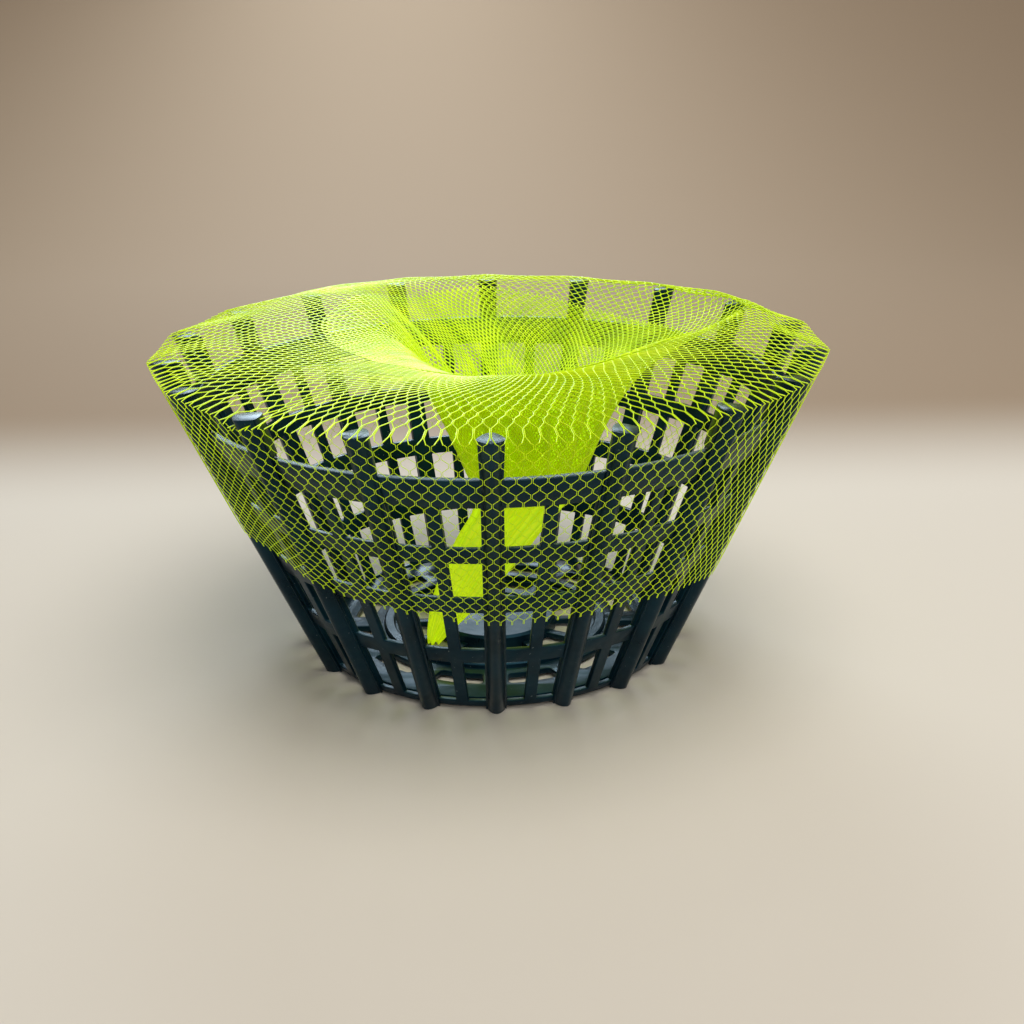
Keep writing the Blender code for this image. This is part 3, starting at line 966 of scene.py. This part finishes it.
# %% The inputs of the node tree that knits
STEM_SHARE = 0.5  # of a row's height that its ties take up
knit = bpy.data.node_groups.new("knit over a sheet", "GeometryNodeTree")
add_socket(knit, "Geometry", "NodeSocketGeometry")
add_socket(knit, "Threads", "NodeSocketInt", 300)
add_socket(knit, "Rows", "NodeSocketInt", 30)
add_socket(knit, "Row Shift", "NodeSocketInt", 0)
add_socket(knit, "Stem Share", "NodeSocketFloat", STEM_SHARE)
add_socket(knit, "Pair Share", "NodeSocketFloat", 0.2)
add_socket(knit, "Cut End", "NodeSocketFloat", 0.0)
add_socket(knit, "Yarn Radius", "NodeSocketFloat", 0.21 * MM)
add_socket(knit, "Yarn Sides", "NodeSocketInt", 4)
add_socket(knit, "Material", "NodeSocketMaterial")
add_socket(knit, "Geometry", "NodeSocketGeometry", out=True)
given = add_node(knit, "NodeGroupInput").outputs
print("inputs of the knitting:", ", ".join(item.name for item in knit.interface.items_tree))


# %% Where each point of each thread lies in the flat
def calculate(operation, first, second=None, third=None):
    """The result of one sum in the knitting tree."""
    inputs = {0: first}
    if second is not None:
        inputs[1] = second
    if third is not None:
        inputs[2] = third
    return add_node(knit, "ShaderNodeMath", inputs, operation=operation).outputs[0]


# Each thread has two points for each row, the two ends of its tie, and one at each end.
per_thread = calculate("MULTIPLY_ADD", given["Rows"], 2, 2)
total = calculate("MULTIPLY", given["Threads"], per_thread)
points = add_node(knit, "GeometryNodePoints", {"Count": total})
index = add_node(knit, "GeometryNodeInputIndex").outputs[0]
thread = calculate("FLOOR", calculate("DIVIDE", calculate("ADD", index, 0.5), per_thread))
place_on = calculate("SUBTRACT", index, calculate("MULTIPLY", thread, per_thread))
last_row = calculate("SUBTRACT", given["Rows"], 1)
row = calculate("FLOOR", calculate("MULTIPLY", calculate("SUBTRACT", place_on, 0.5), 0.5))
row = calculate("MINIMUM", calculate("MAXIMUM", row, 0), last_row)
upper = calculate("SUBTRACT", calculate("SUBTRACT", place_on, 1), calculate("MULTIPLY", row, 2))
is_first = calculate("LESS_THAN", place_on, 0.5)
is_last = calculate("GREATER_THAN", place_on, calculate("SUBTRACT", per_thread, 1.5))
# In even rows a thread is tied to one neighbour, in odd rows to the other.
parity = calculate("FLOORED_MODULO", calculate("ADD", row, given["Row Shift"]), 2)
partner = calculate("FLOOR", calculate("MULTIPLY", calculate("ADD", thread, parity), 0.5))
stem = calculate("ADD", calculate("MULTIPLY", partner, 2), calculate("SUBTRACT", 1, parity))
own = calculate("ADD", thread, 0.5)
beside = calculate("MULTIPLY", calculate("SUBTRACT", own, stem), given["Pair Share"])
tied = calculate("ADD", stem, beside)
# At an end that is not cut, a thread stands in its own place, so that two pieces of net meet.
uncut = calculate("SUBTRACT", 1, given["Cut End"])
free = calculate("MAXIMUM", calculate("MULTIPLY", is_first, uncut), is_last)
across = calculate("ADD", tied, calculate("MULTIPLY", calculate("SUBTRACT", own, tied), free))
u = calculate("FRACT", calculate("DIVIDE", across, given["Threads"]))
in_row = calculate("MULTIPLY_ADD", calculate("SUBTRACT", upper, 0.5), given["Stem Share"], 0.5)
along = calculate("DIVIDE", calculate("ADD", row, in_row), given["Rows"])
along = calculate("MULTIPLY", along, calculate("SUBTRACT", 1, is_first))
v = calculate("MAXIMUM", along, is_last)
v = calculate("MINIMUM", v, 1)
uv = add_node(knit, "ShaderNodeCombineXYZ", {"X": u, "Y": v})
print("nodes that lay out the threads:", len(knit.nodes))

# %% From the flat to the sheet, and from points to yarn
position = add_node(knit, "GeometryNodeInputPosition")
sheet_uv = add_node(knit, "GeometryNodeInputNamedAttribute", {"Name": "net"}, data_type="FLOAT_VECTOR")
looked_up = add_node(
    knit,
    "GeometryNodeSampleUVSurface",
    {
        "Mesh": given["Geometry"],
        "Value": position.outputs[0],
        "Source UV Map": sheet_uv.outputs[0],
        "Sample UV": uv.outputs[0],
    },
    data_type="FLOAT_VECTOR",
)
laid = add_node(
    knit,
    "GeometryNodeSetPosition",
    {"Geometry": points.outputs[0], "Position": looked_up.outputs[0]},
)
threads = add_node(
    knit,
    "GeometryNodePointsToCurves",
    {"Points": laid.outputs[0], "Curve Group ID": thread, "Weight": place_on},
)
section = add_node(
    knit,
    "GeometryNodeCurvePrimitiveCircle",
    {"Resolution": given["Yarn Sides"], "Radius": given["Yarn Radius"]},
)
tubes = add_node(
    knit,
    "GeometryNodeCurveToMesh",
    {"Curve": threads.outputs[0], "Profile Curve": section.outputs[0], "Fill Caps": True},
)
real = add_node(knit, "GeometryNodeRealizeInstances", {"Geometry": tubes.outputs[0]})
smooth = add_node(knit, "GeometryNodeSetShadeSmooth", {"Geometry": real.outputs[0]})
coloured = add_node(
    knit, "GeometryNodeSetMaterial", {"Geometry": smooth.outputs[0], "Material": given["Material"]}
)
add_node(knit, "NodeGroupOutput", {0: coloured.outputs[0]})

# %% The shape of the lining
LINING_INSET = 0.7 * MM
LINING_TOP = [  # azimuth in degrees, share of the throat's length left open above the lining
    (-150, 0.5), (-120, 0.34), (-60, 0.2), (0, 0.2), (60, 0.22), (95, 0.34), (125, 0.5), (180, 0.52),
]


def lined(grid):
    """The throat's grid moved inwards and cut to start lower at the back."""
    rows = grid.shape[0]
    inward = np.array([WAIST[0], WAIST[1], 0]) * MM - grid
    inward[:, :, 2] = 0
    moved = grid + LINING_INSET * inward / np.linalg.norm(inward, axis=2, keepdims=True)
    result = np.zeros_like(grid)
    for column, start in enumerate(round_values(LINING_TOP, azimuths)[:, 0]):
        wanted = np.linspace(start, 1, rows) * (rows - 1)
        for axis in range(3):
            result[:, column, axis] = np.interp(wanted, np.arange(rows), moved[:, column, axis])
    return result


# %% Skirt, crown, throat and the inner layers
THREADS, LINING_THREADS, LINING_ROWS = 300, 420, 20
YARN_SIDES = 3
NET_PARTS = {  # name: (guide points, threads, rows, rows below it, cut end, yarn radius)
    "net_skirt_yarn": (skirt_grid, THREADS, SKIRT_ROWS, 0, 1.0, 0.13 * MM),
    "net_crown_yarn": (crown_grid, THREADS, CROWN_ROWS, SKIRT_ROWS, 0.0, 0.24 * MM),
    "net_throat_yarn": (throat_grid, THREADS, THROAT_ROWS, SKIRT_ROWS + CROWN_ROWS, 0.0, 0.29 * MM),
    "net_fold_yarn": (fold_grid, THREADS, FOLD_ROWS + THROAT_ROWS, 1, 1.0, 0.28 * MM),
    "net_lining_yarn": (lined(throat_grid), LINING_THREADS, LINING_ROWS, 0, 1.0, 0.36 * MM),
}
knitted = {}
for name, (grid, threads_round, rows, shift, cut, radius) in NET_PARTS.items():
    guide = guide_sheet(name, grid)
    values = {"Threads": threads_round, "Rows": rows, "Row Shift": shift, "Cut End": cut}
    values.update({"Yarn Radius": radius, "Yarn Sides": YARN_SIDES, "Material": yarn})
    knitted[name] = run_tree(guide, knit, values)
    print(name, triangles(knitted[name]), "triangles")

# %% [markdown]
# ## The closed cells of the tail
#
# Below the waist the net is squeezed until its cells close, so from a little way off it reads as a
# pleated cloth rather than as a net. It is made as one thin sheet: a flattened tube with sharp
# little pleats that lies down to the floor, with the fine upright lines of the crowded threads.

# %% A thin cloth through a grid
def sheet_from(name, grid, finish, thickness):
    """A thin closed-edged sheet through a grid whose first and last columns meet."""
    sheet = guide_sheet(name, grid)
    builder = bmesh.new()
    builder.from_mesh(sheet.data)
    bmesh.ops.remove_doubles(builder, verts=builder.verts, dist=0.001 * MM)
    bmesh.ops.recalc_face_normals(builder, faces=builder.faces)
    builder.to_mesh(sheet.data)
    builder.free()
    solidify = sheet.modifiers.new("thickness", "SOLIDIFY")
    solidify.thickness = thickness
    solidify.offset = 0
    freeze(sheet)
    sheet.data.shade_smooth()
    sheet.data.materials.clear()
    sheet.data.materials.append(finish)
    return sheet


# %% The ribbon of the tail
TAIL = [  # centre x, centre y, half width, half depth, height, in millimetres
    (14, 0, 20, 7, 62), (10, -3, 17, 4.5, 54), (2.5, -8, 15.5, 2.6, 45), (-5.5, -13, 13.5, 2.2, 34),
    (-14, -18, 10.5, 2.0, 22), (-22, -22, 5, 1.8, 10), (-25, -24, 2.2, 1.4, 4.6),
]
TAIL_COLUMNS, TAIL_SAMPLES = 216, 70
TAIL_CLOTH = 0.3 * MM
SMALL_PLEATS, LARGE_PLEATS, HEM_WAVES = 26, 11, 5  # round the tail
SMALL_PLEAT, LARGE_PLEAT, HEM_WAVE = 0.07, 0.05, 0.8  # shares of the width; the wave in millimetres
PLEAT_TWIST = 0.1  # radians for each millimetre down the tail
DEPTH_SWELL = 1.1

tail_turn = np.linspace(0, tau, TAIL_COLUMNS, endpoint=False)
stations = []
for x, y, half_width, half_depth, height in TAIL:
    pleat = 1 + SMALL_PLEAT * np.sin(SMALL_PLEATS * tail_turn)
    pleat += LARGE_PLEAT * np.sin(LARGE_PLEATS * tail_turn + PLEAT_TWIST * height)
    ring_x = x + half_width * np.sin(tail_turn) * pleat
    ring_y = y - half_depth * np.cos(tail_turn) * pleat * DEPTH_SWELL
    ring_z = height + HEM_WAVE * np.sin(HEM_WAVES * tail_turn)
    stations.append(np.stack([ring_x, ring_y, ring_z], axis=1) * MM)
stations = np.array(stations)
stations = np.concatenate([stations, stations[:, :1]], axis=1)
tail_grid = even_paths(stations, TAIL_SAMPLES, np.ones(TAIL_COLUMNS + 1))
net_tail_cloth = sheet_from("net_tail_cloth", tail_grid, yarn_cloth, TAIL_CLOTH)
print("tail:", triangles(net_tail_cloth), "triangles")

# %% [markdown]
# ## Joining the pieces to the frame
#
# Each piece rides on the body that carries it and hides the plain solids that it stands for. The
# net's pieces are sheets, so half the surface of each, the size it would have laid flat, is worked
# out; only the tail's is printed.

# %% What rides on what
for piece in (basket_wall, basket_rim, basket_staves, basket_floor):
    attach(piece, "basket")
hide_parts(*HOOP_NAMES[:-1], *SLAT_NAMES)
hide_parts("rim_hoop")
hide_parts(*STAVE_NAMES)
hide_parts("floor_plate", "floor_rib", "floor_hub")

for piece in (*knitted.values(), net_tail_cloth):
    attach(piece, "net_cover")
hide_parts("net_skirt")
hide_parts("net_crown")
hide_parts("net_throat")
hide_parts("net_tail")


def half_surface(thing):
    """Half of a piece's surface, in square metres."""
    builder = bmesh.new()
    builder.from_mesh(thing.data)
    area = sum(face.calc_area() for face in builder.faces) / 2
    builder.free()
    return area


# %% The size each piece of net was cut to
# The area of a net is what its yarn covers: half the girth of a thread times its length.
for name, (grid, threads_round, rows, shift, cut, radius) in NET_PARTS.items():
    measured = half_surface(knitted[name])
print("net_tail_cloth, half its surface:", round(half_surface(net_tail_cloth), 5), "m2")
